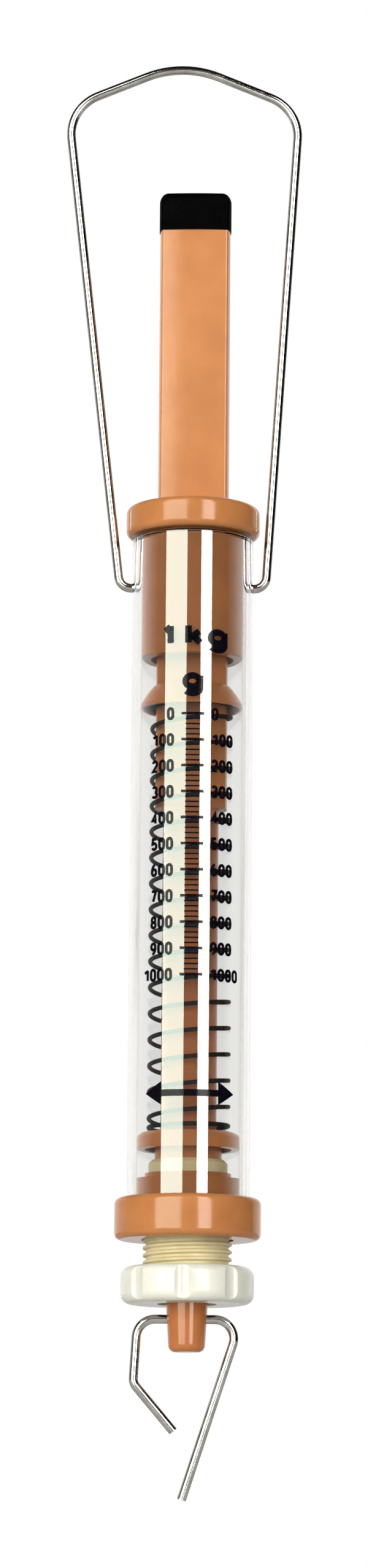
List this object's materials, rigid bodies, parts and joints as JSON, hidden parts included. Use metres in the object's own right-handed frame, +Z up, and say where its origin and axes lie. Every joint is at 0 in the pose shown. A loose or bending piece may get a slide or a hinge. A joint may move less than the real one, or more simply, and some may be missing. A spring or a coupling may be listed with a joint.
{
  "type": "spring scale",
  "caption": "Clear-barrelled push-pull spring scale with a wire bail, printed gram scale, sliding push rod, zero knob and wire load hook.",
  "frame": {"origin": "the hang point under the bail's apex, on the barrel's axis", "axes": "+Z up along the barrel's axis, -Y out of the printed front, X along the bail's pivot"},
  "size_m": [0.0493, 0.0296, 0.2988],
  "materials": {
    "brown_plastic": "glossy moulded, warm tan brown",
    "clear_plastic": "clear polished tube",
    "nylon": "milky, satin",
    "nylon_thread": "yellowish natural nylon, satin",
    "black_rubber": "matt black",
    "bright_wire": "bright drawn wire",
    "spring_wire": "oiled spring wire, dull"
  },
  "bodies": {
    "bail": {"bail_wire": "bright_wire"},
    "barrel": {"barrel_tube": "clear_plastic", "top_cap": "brown_plastic", "bottom_cap": "brown_plastic"},
    "seat": {"spring_seat": "brown_plastic", "main_spring": "spring_wire"},
    "zero": {"zero_screw": "nylon_thread", "zero_knob": "nylon"},
    "plunger": {"push_rod": "brown_plastic", "push_tip": "black_rubber", "indicator_cone": "brown_plastic", "load_rod": "brown_plastic"},
    "hook": {"load_hook": "bright_wire"}
  },
  "joints": [
    {"name": "bail_swing", "type": "hinge", "parent": "bail", "child": "barrel", "pos_m": [0, 0, -0.11026], "axis": [1, 0, 0], "range_deg": [-168, 168]},
    {"name": "seat_lift", "type": "slide", "parent": "barrel", "child": "seat", "axis": [0, 0, 1], "range_m": [-0.0034, 0.0043]},
    {"name": "zero_turn", "type": "hinge", "parent": "seat", "child": "zero", "pos_m": [0, 0, -0.25226], "axis": [0, 0, 1], "range_deg": [-817, 1033]},
    {"name": "plunger_slide", "type": "slide", "parent": "seat", "child": "plunger", "axis": [0, 0, -1], "range_m": [0, 0.0554], "stiffness_N_per_m": 184, "springref_m": -0.003, "deforming": ["main_spring"]},
    {"name": "hook_swing", "type": "hinge", "parent": "plunger", "child": "hook", "pos_m": [0, 0, -0.26056], "axis": [1, 0, 0], "range_deg": [-90, 90]}
  ],
  "couplings": [
    {"joint": "zero_turn", "follows": "seat_lift", "rad_per_m": 4188.8}
  ]
}
